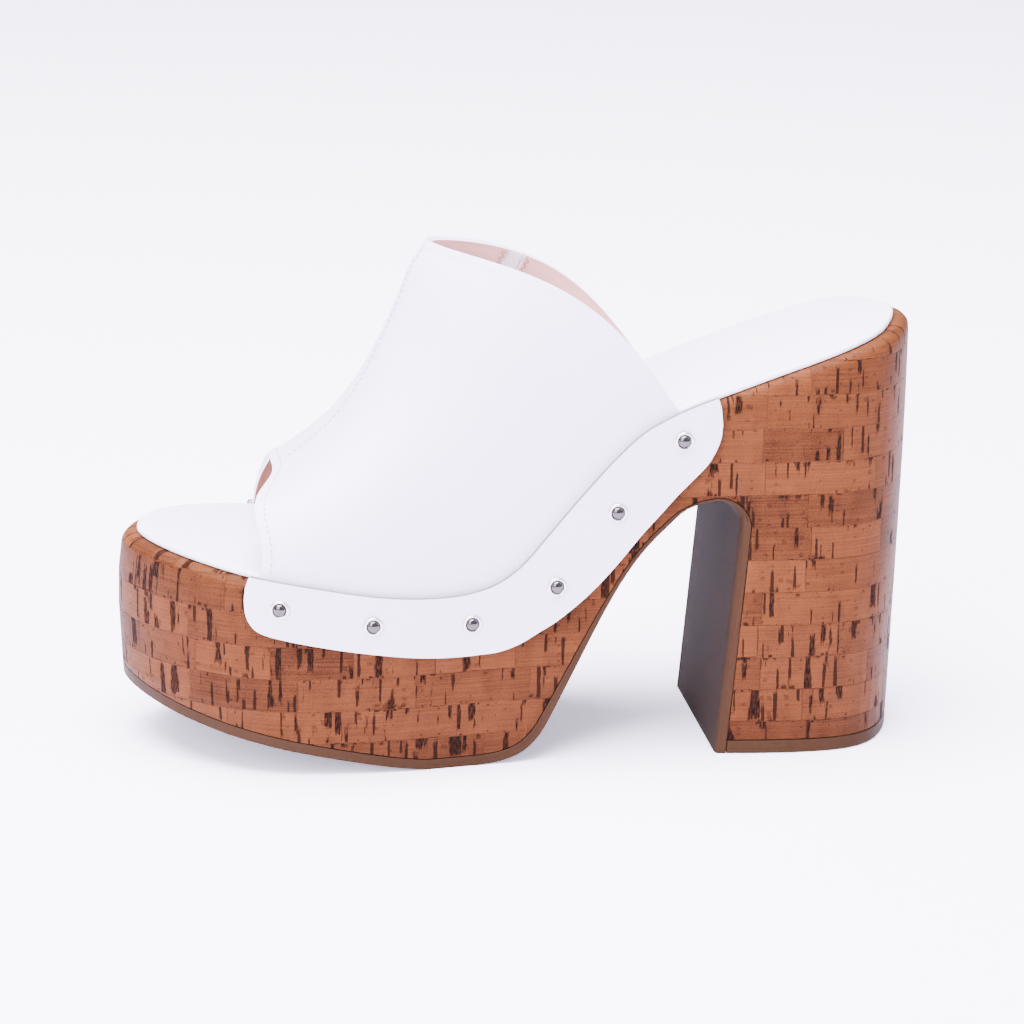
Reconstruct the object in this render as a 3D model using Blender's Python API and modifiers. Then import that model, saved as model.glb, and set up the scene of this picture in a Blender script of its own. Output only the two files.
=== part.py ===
"""A cork-wrapped platform sandal for the left foot: block heel, platform and one leather band.

Frame: +X to the toe, +Y to the wearer's left, which is the lateral side, +Z up.
The origin is on the floor at the middle of the heel's top lift. The pieces are
worked out with x from the heel back, and the assembly's empty moves them into
the frame. A station is a share of the length, 0 at the heel back and 1 at the
toe tip. All lengths are in metres.
"""

from collections import namedtuple
from math import cos, pi, radians, sin

import bmesh
import bpy
import numpy as np
from mathutils import Matrix, Vector

# Last and footbed
LENGTH = 0.232
BALL_WIDTH = 0.0850
HEEL_WIDTH = 0.0660
PLATFORM_HEIGHT = 0.0528
HEEL_HEIGHT = 0.1275
TOE_RISE = 0.0110

# Platform and heel
RIM_RADIUS = 0.0040
BACK_DRAFT = 0.0032
TOE_DRAFT = 0.0025
TOE_LEAN = 0.0034
HEEL_LEAN = 0.0022
TOE_SPRING = 0.0190
ARCH_HEIGHT = 0.0765
FLAT_BACK = 0.562
ARCH_CORNER = 0.0070
BREAST_FOOT = 0.0602
BREAST_LEAN = 0.0850
OUTSOLE = 0.0030
WAIST_SOLE = 0.0012
TOP_LIFT = 0.0040

# Insole, upper and strips
INSOLE = 0.0018
INSOLE_EDGE = 0.0009
UPPER_WALL = 0.0022
INSTEP_RISE = 0.0952
RIDGE_SHIFT = -0.0025
SLIT_WIDTH = 0.0060
SLIT_DEPTH = 0.0200
SLIT_PLACE = 0.708
GORE_WALL = 0.0009
RAND_WIDTH = 0.0170
RAND_WALL = 0.0016
RAND_STAND = -0.0002
MEDIAL_DROP = 0.0016
RAND_BACK = 0.262
RAND_FRONT_LATERAL = 0.855
RAND_FRONT_MEDIAL = 0.828
STUD_RADIUS = 0.0028
STUD_HEIGHT = 0.0015
GAP = 0.0003

# Fineness of the faceted surfaces
STATIONS = 44
RIM_STEPS = 4
CORNER_STEPS = 6
ARCH_COLUMNS = 26
SECTION_STEPS = 3
PATH_STEPS = 3
STRIP_STEPS = 30
STUD_SIDES = 14
STUD_STEPS = 3

# Fineness of the curves that the surfaces are read from
CURVE_STEPS = 40
ARC_STEPS = 90

LATERAL = 0
MEDIAL = 1

# Half widths of the rim and of the outline at the floor, in shares of a named width
Plan = namedtuple("Plan", "station lateral medial floor_lateral floor_medial width")
PLAN = (
    Plan(0.008, 0.156, 0.150, 0.182, 0.178, HEEL_WIDTH),
    Plan(0.036, 0.358, 0.345, 0.379, 0.372, HEEL_WIDTH),
    Plan(0.074, 0.462, 0.455, 0.480, 0.475, HEEL_WIDTH),
    Plan(0.127, 0.503, 0.490, 0.514, 0.508, HEEL_WIDTH),
    Plan(0.200, 0.501, 0.500, 0.509, 0.505, HEEL_WIDTH),
    Plan(0.310, 0.501, 0.498, 0.475, 0.475, HEEL_WIDTH),
    Plan(0.420, 0.406, 0.404, 0.390, 0.390, BALL_WIDTH),
    Plan(0.550, 0.432, 0.447, 0.410, 0.425, BALL_WIDTH),
    Plan(0.680, 0.483, 0.503, 0.457, 0.478, BALL_WIDTH),
    Plan(0.800, 0.482, 0.512, 0.456, 0.486, BALL_WIDTH),
    Plan(0.869, 0.420, 0.470, 0.395, 0.445, BALL_WIDTH),
    Plan(0.907, 0.350, 0.430, 0.327, 0.405, BALL_WIDTH),
    Plan(0.942, 0.264, 0.381, 0.245, 0.357, BALL_WIDTH),
    Plan(0.974, 0.140, 0.302, 0.130, 0.283, BALL_WIDTH),
    Plan(0.993, 0.024, 0.194, 0.022, 0.178, BALL_WIDTH),
)
TIP_SHIFT = -0.082 * BALL_WIDTH

# Shares of the arch height where the outsole is thin behind the flat and full again at the breast
THIN_RISE = 0.66
THICK_DROP = 0.91

# Stations over which the top of the toe and of the heel lean in
TOE_SPAN = (0.80, 1.00)
HEEL_SPAN = (0.18, 0.00)

# The wall under the rounded rim: shares of the way down, of the toe's lean and of the draft
Wall = namedtuple("Wall", "depth lean draft")
WALL = (
    Wall(0.00, 0.35, 0.00),
    Wall(0.12, 0.12, 0.00),
    Wall(0.30, 0.00, 0.10),
    Wall(0.60, 0.00, 0.45),
    Wall(1.00, 0.00, 1.00),
)

# Height of the insole above its lowest line: shares of the heel's and of the toe's rise
Footbed = namedtuple("Footbed", "station heel toe")
FOOTBED = (
    Footbed(0.000, 1.000, 0.00),
    Footbed(0.060, 0.955, 0.00),
    Footbed(0.120, 0.899, 0.00),
    Footbed(0.180, 0.837, 0.00),
    Footbed(0.240, 0.770, 0.00),
    Footbed(0.310, 0.690, 0.00),
    Footbed(0.365, 0.598, 0.00),
    Footbed(0.410, 0.461, 0.00),
    Footbed(0.445, 0.340, 0.00),
    Footbed(0.480, 0.213, 0.00),
    Footbed(0.505, 0.122, 0.00),
    Footbed(0.530, 0.059, 0.00),
    Footbed(0.560, 0.018, 0.00),
    Footbed(0.600, 0.000, 0.00),
    Footbed(0.650, 0.000, 0.03),
    Footbed(0.700, 0.000, 0.15),
    Footbed(0.750, 0.000, 0.34),
    Footbed(0.830, 0.000, 0.64),
    Footbed(0.920, 0.000, 0.89),
    Footbed(1.000, 0.000, 1.00),
)

# Underside of the forefoot, from past the toe to its flat, in shares of the toe spring
Spring = namedtuple("Spring", "station rise")
SPRING = (
    Spring(1.050, 1.18),
    Spring(1.000, 1.00),
    Spring(0.950, 0.82),
    Spring(0.880, 0.61),
    Spring(0.780, 0.35),
    Spring(0.700, 0.145),
    Spring(0.660, 0.055),
    Spring(0.630, 0.0),
)

# Underside of the waist, from the flat up to the arch: shares of the way from the arch's
# corner to the flat, and of the arch height
Waist = namedtuple("Waist", "along rise")
WAIST = (
    Waist(1.000, 0.000),
    Waist(0.900, 0.012),
    Waist(0.808, 0.046),
    Waist(0.737, 0.112),
    Waist(0.680, 0.208),
    Waist(0.584, 0.385),
    Waist(0.491, 0.555),
    Waist(0.406, 0.695),
    Waist(0.320, 0.808),
    Waist(0.236, 0.890),
    Waist(0.152, 0.955),
    Waist(0.068, 0.990),
)

# Lower edge of a side strip, from its front end to its back end: shares of the way
# from its back to its front, and depths in shares of its width
Strip = namedtuple("Strip", "along depth")
STRIP = (
    Strip(0.9900, 0.00),
    Strip(0.9975, 0.20),
    Strip(1.0000, 0.42),
    Strip(0.9980, 0.62),
    Strip(0.9900, 0.80),
    Strip(0.9680, 0.94),
    Strip(0.9120, 0.985),
    Strip(0.8200, 1.00),
    Strip(0.7250, 1.00),
    Strip(0.6310, 1.03),
    Strip(0.5330, 1.08),
    Strip(0.4690, 1.20),
    Strip(0.4050, 1.40),
    Strip(0.3410, 1.70),
    Strip(0.2780, 1.87),
    Strip(0.2160, 1.88),
    Strip(0.1520, 1.70),
    Strip(0.0895, 1.40),
    Strip(0.0370, 1.14),
    Strip(0.0170, 0.96),
    Strip(0.0034, 0.73),
    Strip(0.0000, 0.48),
    Strip(0.0034, 0.20),
    Strip(0.0100, 0.00),
)

# Stations over which the medial strip's top falls away at the back
DROP_SPAN = (0.36, 0.46)

# Studs along a side strip, in the same shares
STUDS = (
    Strip(0.929, 0.46),
    Strip(0.735, 0.50),
    Strip(0.525, 0.53),
    Strip(0.346, 1.06),
    Strip(0.219, 0.96),
    Strip(0.081, 0.50),
)

# Arched sections of the upper, from the toe opening to the topline. A section stands on the
# rim at one station on each side. Its crest has a station and a share of the instep's rise.
# Square is the arch's exponent. The sways bend its sides back, in shares of its height, and
# lean moves the bend up the sides.
Arch = namedtuple("Arch", "lateral medial crest rise square lean lateral_sway medial_sway")
ARCHES = (
    Arch(0.838, 0.818, 0.806, 0.306, 2.30, 2.6, -0.230, 0.040),
    Arch(0.775, 0.762, 0.768, 0.372, 2.30, 2.0, -0.150, 0.010),
    Arch(0.705, 0.698, 0.729, 0.458, 2.30, 1.5, -0.075, 0.000),
    Arch(0.630, 0.627, 0.698, 0.564, 2.25, 1.1, -0.010, 0.000),
    Arch(0.555, 0.554, 0.674, 0.680, 2.20, 1.0, 0.025, 0.020),
    Arch(0.480, 0.480, 0.652, 0.801, 2.10, 1.0, 0.065, 0.055),
    Arch(0.400, 0.400, 0.633, 0.924, 1.95, 1.0, 0.105, 0.090),
    Arch(0.312, 0.312, 0.612, 1.000, 1.80, 1.0, 0.140, 0.122),
)


def smooth(points, steps, closed=False):
    """A Catmull-Rom curve through the points, with steps pieces between neighbours."""
    points = np.array(points, float)
    if closed:
        points = np.vstack([points[-1], points, points[:2]])
    else:
        points = np.vstack([2 * points[0] - points[1], points, 2 * points[-1] - points[-2]])
    curve = []
    for a, b, c, d in zip(points, points[1:], points[2:], points[3:]):
        for step in range(steps):
            t = step / steps
            square = 2 * a - 5 * b + 4 * c - d
            cube = 3 * b - a - 3 * c + d
            curve.append((2 * b + (c - a) * t + square * t**2 + cube * t**3) / 2)
    if not closed:
        curve.append(points[-2])
    return np.array(curve)


def plan_outline(lateral, medial, back, tip):
    """An outline from above, from the heel back along the lateral side, and its inward normals."""
    along = [back + row.station * (tip - back) for row in PLAN]
    left = [(x, share * row.width) for x, share, row in zip(along, lateral, PLAN)]
    right = [(x, -share * row.width) for x, share, row in zip(along, medial, PLAN)]
    curve = smooth([(back, 0.0), *left, (tip, TIP_SHIFT), *reversed(right)], CURVE_STEPS, closed=True)
    tangent = np.roll(curve, -1, axis=0) - np.roll(curve, 1, axis=0)
    inward = np.column_stack([tangent[:, 1], -tangent[:, 0]])
    return curve, inward / np.linalg.norm(inward, axis=1)[:, None]


RIM = plan_outline([row.lateral for row in PLAN], [row.medial for row in PLAN], 0.0, LENGTH)
FLOOR = plan_outline(
    [row.floor_lateral for row in PLAN],
    [row.floor_medial for row in PLAN],
    BACK_DRAFT,
    LENGTH - TOE_DRAFT,
)
FOOTBED_LINE = smooth(
    [
        (
            row.station * LENGTH,
            PLATFORM_HEIGHT + row.heel * (HEEL_HEIGHT - PLATFORM_HEIGHT) + row.toe * TOE_RISE,
        )
        for row in FOOTBED
    ],
    CURVE_STEPS,
)


def insole_height(x):
    """Top of the insole at x."""
    return np.interp(x, FOOTBED_LINE[:, 0], FOOTBED_LINE[:, 1])


def rim_height(x):
    """Top of the cork under the insole at x."""
    return insole_height(x) - INSOLE - GAP


def sides(shape, inset):
    """Lateral and medial halves of an outline moved inward, each from the heel to the toe."""
    curve, inward = shape
    curve = curve + inward * inset
    curve = np.roll(curve, -np.argmin(curve[:, 0]), axis=0)
    tip = int(np.argmax(curve[:, 0]))
    medial = np.vstack([curve[tip:], curve[:1]])[::-1]
    return curve[: tip + 1], medial


def half_width(x, inset, side):
    """Distance of one side of the rim from the x axis."""
    half = sides(RIM, inset)[side]
    return abs(np.interp(x, half[:, 0], half[:, 1]))


def stations():
    """Shares of the way along an outline, closer at both ends, out and back."""
    share = (1 - np.cos(np.linspace(0, pi, STATIONS + 1))) / 2
    return np.concatenate([share, share[-2:0:-1]])


def ring_at(shape, inset):
    """Outline points at the stations: heel end, lateral side, toe end, medial side."""
    lateral, medial = sides(shape, inset)
    x = lateral[0, 0] + (lateral[-1, 0] - lateral[0, 0]) * stations()
    left = np.interp(x, lateral[:, 0], lateral[:, 1])
    right = np.interp(x, medial[:, 0], medial[:, 1])
    across = np.where(np.arange(len(x)) <= STATIONS, left, right)
    return np.column_stack([x, across])


def ring(inset, toe=0.0, heel=0.0, draft=0.0):
    """Rim points moved in, further at the toe and heel ends, and a share of the way to the floor's."""
    points = ring_at(RIM, inset)
    for extra, span in ((toe, TOE_SPAN), (heel, HEEL_SPAN)):
        t = np.clip((stations() - span[0]) / (span[1] - span[0]), 0, 1)
        share = (t * t * (3 - 2 * t))[:, None]
        points += (ring_at(RIM, inset + extra) - ring_at(RIM, inset)) * share
    return points + (ring_at(FLOOR, inset) - points) * draft


def loft(rings):
    """A closed mesh through rings of ring(), each an array of x, y and z, from top to bottom."""
    bm = bmesh.new()
    rows = [[bm.verts.new(point) for point in points] for points in rings]
    count = len(rows[0])
    for upper, lower in zip(rows, rows[1:]):
        for i in range(count):
            j = (i + 1) % count
            bm.faces.new((upper[i], lower[i], lower[j], upper[j]))
    for row in (rows[0], rows[-1]):
        for k in range(count // 2):
            corners = (row[k], row[k + 1], row[(count - k - 1) % count], row[(count - k) % count])
            bm.faces.new(list(dict.fromkeys(corners)))
    bmesh.ops.recalc_face_normals(bm, faces=bm.faces[:])
    return bm


def stack(points, heights):
    """Plan points with their heights."""
    return np.column_stack([points, heights])


def outer_form():
    """Platform and heel as one full block with a rounded rim, down to below the floor."""
    rings = []
    for step in range(RIM_STEPS + 1):
        angle = radians(90) * step / RIM_STEPS
        inward = 1 - sin(angle)
        toe = TOE_LEAN * (WALL[0].lean + (1 - WALL[0].lean) * inward)
        points = ring((UPPER_WALL + GAP) * inward, toe, HEEL_LEAN * inward)
        rings.append(stack(points, rim_height(points[:, 0]) - RIM_RADIUS * (1 - cos(angle))))
    for row in WALL[1:]:
        points = ring(0.0, toe=TOE_LEAN * row.lean, draft=row.draft)
        rings.append(stack(points, (rim_height(points[:, 0]) - RIM_RADIUS) * (1 - row.depth)))
    points = ring(0.0, draft=1.0)
    rings.append(stack(points, np.full(len(points), -OUTSOLE)))
    return loft(rings)


def underside():
    """Bottom line of the outsole in side view, from past the toe to the foot of the breast."""
    centre_z = ARCH_HEIGHT - ARCH_CORNER
    centre_x = BREAST_FOOT - BREAST_LEAN * centre_z + ARCH_CORNER
    span = FLAT_BACK * LENGTH - centre_x
    toe = [(row.station * LENGTH, row.rise * TOE_SPRING) for row in SPRING]
    waist = [(centre_x + row.along * span, row.rise * ARCH_HEIGHT) for row in WAIST]
    line = [*smooth(toe, PATH_STEPS), *smooth(waist, PATH_STEPS)]
    for step in range(CORNER_STEPS + 1):
        angle = radians(90 + 90 * step / CORNER_STEPS)
        line.append((centre_x + ARCH_CORNER * cos(angle), centre_z + ARCH_CORNER * sin(angle)))
    line.append((BREAST_FOOT, 0.0))
    return np.array(line)


def sheet_thickness(line):
    """Thickness of the outsole along its bottom line: full, thin at the waist, full at the breast."""
    height = line[:, 1] / ARCH_HEIGHT
    forefoot = np.interp(height, (0.0, THIN_RISE), (OUTSOLE, WAIST_SOLE))
    breast = np.interp(height, (THICK_DROP, 1.0), (OUTSOLE, WAIST_SOLE))
    toe = line[:, 0] > FLAT_BACK * LENGTH
    after_top = np.arange(len(line)) > np.argmax(line[:, 1])
    return np.where(toe, OUTSOLE, np.where(after_top, breast, forefoot))


def raised(line, distance):
    """A side-view line moved up into the sole by a distance at each point."""
    tangent = np.gradient(line, axis=0)
    normal = np.column_stack([tangent[:, 1], -tangent[:, 0]])
    normal /= np.linalg.norm(normal, axis=1)[:, None]
    return line + normal * distance[:, None]


def drawn_out(corners, move):
    """A flat outline drawn out along a vector."""
    bm = bmesh.new()
    face = bm.faces.new([bm.verts.new(corner) for corner in corners])
    drawn = bmesh.ops.extrude_face_region(bm, geom=[face])["geom"]
    moved = [item for item in drawn if isinstance(item, bmesh.types.BMVert)]
    bmesh.ops.translate(bm, verts=moved, vec=move)
    bmesh.ops.recalc_face_normals(bm, faces=bm.faces[:])
    return bm


def prism(outline):
    """A side-view outline drawn out along y, wider than the sandal."""
    return drawn_out([(x, -BALL_WIDTH, z) for x, z in outline], (0, 2 * BALL_WIDTH, 0))


class Workshop:
    """Collections, materials and the empty that carries the assembly."""

    def __init__(self):
        for obj in list(bpy.data.objects):
            bpy.data.objects.remove(obj)
        self.parts = bpy.data.collections.new("cork_platform_sandal")
        self.cutters = bpy.data.collections.new("cutters")
        for collection in (self.parts, self.cutters):
            bpy.context.scene.collection.children.link(collection)
        self.carrier = bpy.data.objects.new("sandal", None)
        self.carrier.location.x = -top_lift_centre()
        self.parts.objects.link(self.carrier)

    def part(self, name, bm, look, sharp=35):
        """A visible piece, shaded smooth up to an angle."""
        mesh = bpy.data.meshes.new(name)
        bm.to_mesh(mesh)
        bm.free()
        mesh.materials.append(look)
        mesh.shade_smooth()
        mesh.set_sharp_from_angle(angle=radians(sharp))
        return self.place(name, mesh)

    def place(self, name, mesh):
        """An object for a mesh, under the assembly's empty."""
        obj = bpy.data.objects.new(name, mesh)
        obj.parent = self.carrier
        self.parts.objects.link(obj)
        return obj

    def cutter(self, name, bm):
        """A hidden shape for a Boolean."""
        mesh = bpy.data.meshes.new(name)
        bm.to_mesh(mesh)
        bm.free()
        obj = bpy.data.objects.new(name, mesh)
        obj.parent = self.carrier
        obj.hide_render = True
        obj.display_type = "WIRE"
        self.cutters.objects.link(obj)
        return obj


def material(name, colour, roughness, metallic=0.0):
    """A plain Principled material."""
    made = bpy.data.materials.new(name)
    made.use_nodes = True
    shader = made.node_tree.nodes["Principled BSDF"]
    shader.inputs["Base Color"].default_value = (*colour, 1.0)
    shader.inputs["Roughness"].default_value = roughness
    shader.inputs["Metallic"].default_value = metallic
    return made


def boolean(obj, cutter, operation):
    """An exact Boolean of an object with a cutter."""
    modifier = obj.modifiers.new(cutter.name, "BOOLEAN")
    modifier.operation = operation
    modifier.object = cutter


def top_lift_front():
    """Where the top lift meets the heel breast's sheet, at the floor."""
    return BREAST_FOOT - OUTSOLE - GAP


def top_lift_centre():
    """Middle of the top lift along x."""
    return (BACK_DRAFT + top_lift_front()) / 2


def make_cork_unit(shop):
    """Platform, waist and heel in one, less the room for the outsole and the top lift."""
    cork = material("cork", (0.45, 0.20, 0.10), 0.6)
    unit = shop.part("cork_unit", outer_form(), cork)
    line = underside()
    line = raised(line, sheet_thickness(line) + GAP)
    seat = TOP_LIFT + GAP
    front = top_lift_front() - BREAST_LEAN * seat
    back = -RIM_RADIUS
    low = -TOE_SPRING
    below = [*line[:-1], (front, seat), (back, seat), (back, low), (line[0][0], low)]
    boolean(unit, shop.cutter("room_below", prism(below)), "DIFFERENCE")


def make_outsole(shop):
    """A sheet along the underside, from the toe tip to the floor at the heel breast."""
    tan = material("tan_rubber", (0.22, 0.105, 0.066), 0.55)
    sheet = shop.part("outsole", outer_form(), tan)
    lower = underside()
    upper = raised(lower, sheet_thickness(lower))
    upper[-1] = (BREAST_FOOT - OUTSOLE, 0.0)
    boolean(sheet, shop.cutter("outsole_band", prism([*lower, *upper[::-1]])), "INTERSECT")


def make_top_lift(shop):
    """The wear piece under the heel, cut from the outer form."""
    tan = material("tan_lift", (0.22, 0.10, 0.062), 0.5)
    lift = shop.part("top_lift", outer_form(), tan)
    front = top_lift_front()
    back = -RIM_RADIUS
    slab = [(back, 0.0), (front, 0.0), (front - BREAST_LEAN * TOP_LIFT, TOP_LIFT), (back, TOP_LIFT)]
    boolean(lift, shop.cutter("lift_slab", prism(slab)), "INTERSECT")


def make_insole(shop):
    """A padded sheet over the cork, as far inside the rim as the upper's wall."""
    white = material("white_leather_insole", (0.86, 0.84, 0.87), 0.5)
    edge = UPPER_WALL + GAP
    rings = []
    for inset, drop in ((INSOLE_EDGE, 0.0), (INSOLE_EDGE * 0.3, INSOLE_EDGE * 0.3), (0.0, INSOLE_EDGE)):
        points = ring(edge + inset, TOE_LEAN, HEEL_LEAN)
        rings.append(stack(points, insole_height(points[:, 0]) - drop))
    points = ring(edge, TOE_LEAN, HEEL_LEAN)
    rings.append(stack(points, insole_height(points[:, 0]) - INSOLE))
    shop.part("insole", loft(rings), white, sharp=60)


def upper_sections():
    """Rows of points over the instep, each from the lateral foot over the crest to the medial foot."""
    rows = smooth([tuple(arch) for arch in ARCHES], SECTION_STEPS)
    sections = []
    for lateral, medial, crest, rise, square, lean, *sways in rows:
        feet = lateral * LENGTH, medial * LENGTH
        crest_x = crest * LENGTH
        crest_z = PLATFORM_HEIGHT + rise * INSTEP_RISE
        halves = []
        for side, foot_x, sway in zip((LATERAL, MEDIAL), feet, sways):
            foot_z = rim_height(foot_x) + GAP
            foot_y = half_width(foot_x, 0.0, side) * (1 if side == LATERAL else -1)
            angle = np.linspace(0, pi / 2, ARC_STEPS + 1)
            across = np.cos(angle) ** (2 / square)
            up = np.sin(angle) ** (2 / square)
            bend = sway * np.sin(pi * up**lean)
            x = foot_x + up * (crest_x - foot_x) - bend * (crest_z - foot_z)
            z = foot_z + up * (crest_z - foot_z) + bend * (crest_x - foot_x)
            y = RIDGE_SHIFT + across * (foot_y - RIDGE_SHIFT)
            halves.append(np.column_stack([x, y, z]))
        curve = np.vstack([halves[0], halves[1][-2::-1]])
        length = np.concatenate([[0], np.cumsum(np.linalg.norm(np.diff(curve, axis=0), axis=1))])
        even = np.linspace(0, length[-1], ARCH_COLUMNS + 1)
        sections.append(np.column_stack([np.interp(even, length, curve[:, k]) for k in range(3)]))
    return np.array(sections)


def upper_sheet(depth):
    """The upper's outer surface, moved in by a depth, as an open sheet facing out."""
    bm = bmesh.new()
    rows = [[bm.verts.new(point) for point in section] for section in upper_sections()]
    for row, after in zip(rows, rows[1:]):
        for k in range(ARCH_COLUMNS):
            bm.faces.new((row[k], after[k], after[k + 1], row[k + 1]))
    bm.normal_update()
    crest = rows[len(rows) // 2][ARCH_COLUMNS // 2]
    if crest.normal.z < 0:
        bmesh.ops.reverse_faces(bm, faces=bm.faces[:])
        bm.normal_update()
    for vert, normal in [(vert, vert.normal.copy()) for vert in bm.verts]:
        vert.co -= normal * depth
    return bm


def slit_frame():
    """Frame at the medial topline: x along the edge, y into the upper, z outward."""
    sections = upper_sections()
    column = SLIT_PLACE * ARCH_COLUMNS
    near, share = int(column), column % 1
    line = sections[:, near] * (1 - share) + sections[:, near + 1] * share
    edge = line[-1]
    along = Vector(sections[-1][near + 1] - sections[-1][near]).normalized()
    into = Vector(line[-1 - 2 * SECTION_STEPS] - edge)
    into = (into - along * into.dot(along)).normalized()
    frame = Matrix((along, into, along.cross(into))).transposed().to_4x4()
    frame.translation = Vector(edge)
    return frame


def slit_tool(room):
    """A U-shaped slug across the topline, narrower than the slit by a room on each side."""
    radius = SLIT_WIDTH / 2 - room
    straight = SLIT_DEPTH - SLIT_WIDTH / 2
    outline = [(-radius, -SLIT_WIDTH), (radius, -SLIT_WIDTH)]
    for step in range(CORNER_STEPS + 1):
        angle = radians(180 * step / CORNER_STEPS)
        outline.append((radius * cos(angle), straight + radius * sin(angle)))
    slug = drawn_out([(x, y, -SLIT_WIDTH) for x, y in outline], (0, 0, 2 * SLIT_WIDTH))
    bmesh.ops.transform(slug, matrix=slit_frame(), verts=slug.verts[:])
    return slug


def shell(obj, thickness):
    """Real wall on the inner side of an open sheet."""
    modifier = obj.modifiers.new("wall", "SOLIDIFY")
    modifier.thickness = thickness
    modifier.offset = -1
    modifier.use_even_offset = True


def make_upper(shop):
    """The leather band, hollow underneath, with a slit in its medial topline."""
    white = material("white_leather", (0.88, 0.86, 0.90), 0.42)
    upper = shop.part("upper", upper_sheet(0.0), white)
    shell(upper, UPPER_WALL)
    boolean(upper, shop.cutter("slit", slit_tool(0.0)), "DIFFERENCE")


def make_gore(shop):
    """Elastic that fills the slit, halfway through the wall."""
    elastic = material("white_elastic", (0.72, 0.66, 0.66), 0.8)
    gore = shop.part("gore", upper_sheet((UPPER_WALL - GORE_WALL) / 2), elastic)
    shell(gore, GORE_WALL)
    boolean(gore, shop.cutter("slit_slug", slit_tool(GAP)), "INTERSECT")


def strip_top(x, side):
    """Top edge of a side strip. The medial one lies lower at its back end."""
    top = insole_height(x) + RAND_STAND
    if side == MEDIAL:
        top = top - MEDIAL_DROP * np.interp(x / LENGTH, DROP_SPAN, (1.0, 0.0))
    return top


def strip_point(row, side):
    """Side view place of a row of the strip or stud table."""
    front = RAND_FRONT_LATERAL if side == LATERAL else RAND_FRONT_MEDIAL
    x = (RAND_BACK + row.along * (front - RAND_BACK)) * LENGTH
    return x, strip_top(x, side) - row.depth * RAND_WIDTH


def strip_outline(side):
    """A side strip in side view: its lower edge from front to back, then its top edge forward."""
    lower = smooth([strip_point(row, side) for row in STRIP], 2)
    x = np.linspace(lower[-1][0], lower[0][0], STRIP_STEPS)[1:-1]
    return [*lower, *zip(x, strip_top(x, side))]


def make_strip(shop, name, side, leather):
    """A leather strip round one side of the rim, held off the cork by the gap."""
    past = RAND_WIDTH / 4
    x = np.linspace(RAND_BACK * LENGTH - past, RAND_FRONT_LATERAL * LENGTH + past, STRIP_STEPS)
    sign = 1 if side == LATERAL else -1
    inner = [(a, sign * half_width(a, -GAP, side), 0.0) for a in x]
    outer = [(a, sign * half_width(a, -GAP - RAND_WALL, side), 0.0) for a in x]
    strip = shop.part(name, drawn_out([*inner, *reversed(outer)], (0, 0, HEEL_HEIGHT)), leather)
    boolean(strip, shop.cutter(name + "_outline", prism(strip_outline(side))), "INTERSECT")


def stud_mesh(metal):
    """One domed stud, turned about z, with its flat back at z = 0."""
    profile = [(0.0, STUD_HEIGHT)]
    for step in range(1, STUD_STEPS + 1):
        angle = radians(90 * step / STUD_STEPS)
        profile.append((STUD_RADIUS * sin(angle), STUD_HEIGHT * (0.25 + 0.75 * cos(angle))))
    profile += [(STUD_RADIUS, 0.0), (0.0, 0.0)]
    mesh = bpy.data.meshes.new("stud")
    edges = [(k, k + 1) for k in range(len(profile) - 1)]
    mesh.from_pydata([(x, 0.0, z) for x, z in profile], edges, [])
    mesh.materials.append(metal)
    return mesh


def make_studs(shop, side_name, side):
    """Six studs along one strip, square to its face."""
    metal = material("polished_metal_" + side_name, (0.62, 0.61, 0.60), 0.18, 1.0)
    mesh = stud_mesh(metal)
    sign = 1 if side == LATERAL else -1
    offset = -GAP - RAND_WALL - GAP
    for number, row in enumerate(STUDS, start=1):
        x, z = strip_point(row, side)
        slope = (half_width(x + GAP, offset, side) - half_width(x - GAP, offset, side)) / (2 * GAP)
        outward = Vector((-slope, sign, 0.0))
        stud = shop.place(f"stud_{side_name}_{number}", mesh)
        stud.location = (x, sign * half_width(x, offset, side), z)
        stud.rotation_euler = outward.to_track_quat("Z", "Y").to_euler()
        turn = stud.modifiers.new("turn", "SCREW")
        turn.steps = STUD_SIDES
        turn.render_steps = STUD_SIDES
        turn.use_merge_vertices = True
        turn.merge_threshold = 0.00001


def main():
    """Build the whole sandal."""
    shop = Workshop()
    make_cork_unit(shop)
    make_outsole(shop)
    make_top_lift(shop)
    make_insole(shop)
    make_upper(shop)
    make_gore(shop)
    leather = material("white_strip_leather", (0.85, 0.82, 0.88), 0.4)
    for side, side_name in ((LATERAL, "lateral"), (MEDIAL, "medial")):
        make_strip(shop, "rand_" + side_name, side, leather)
        make_studs(shop, side_name, side)


if __name__ == "__main__":
    main()
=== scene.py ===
from collections import namedtuple
from math import cos, pi, radians, sin, sqrt

import bmesh
import bpy
import numpy as np
from mathutils import Matrix, Vector, geometry


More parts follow.
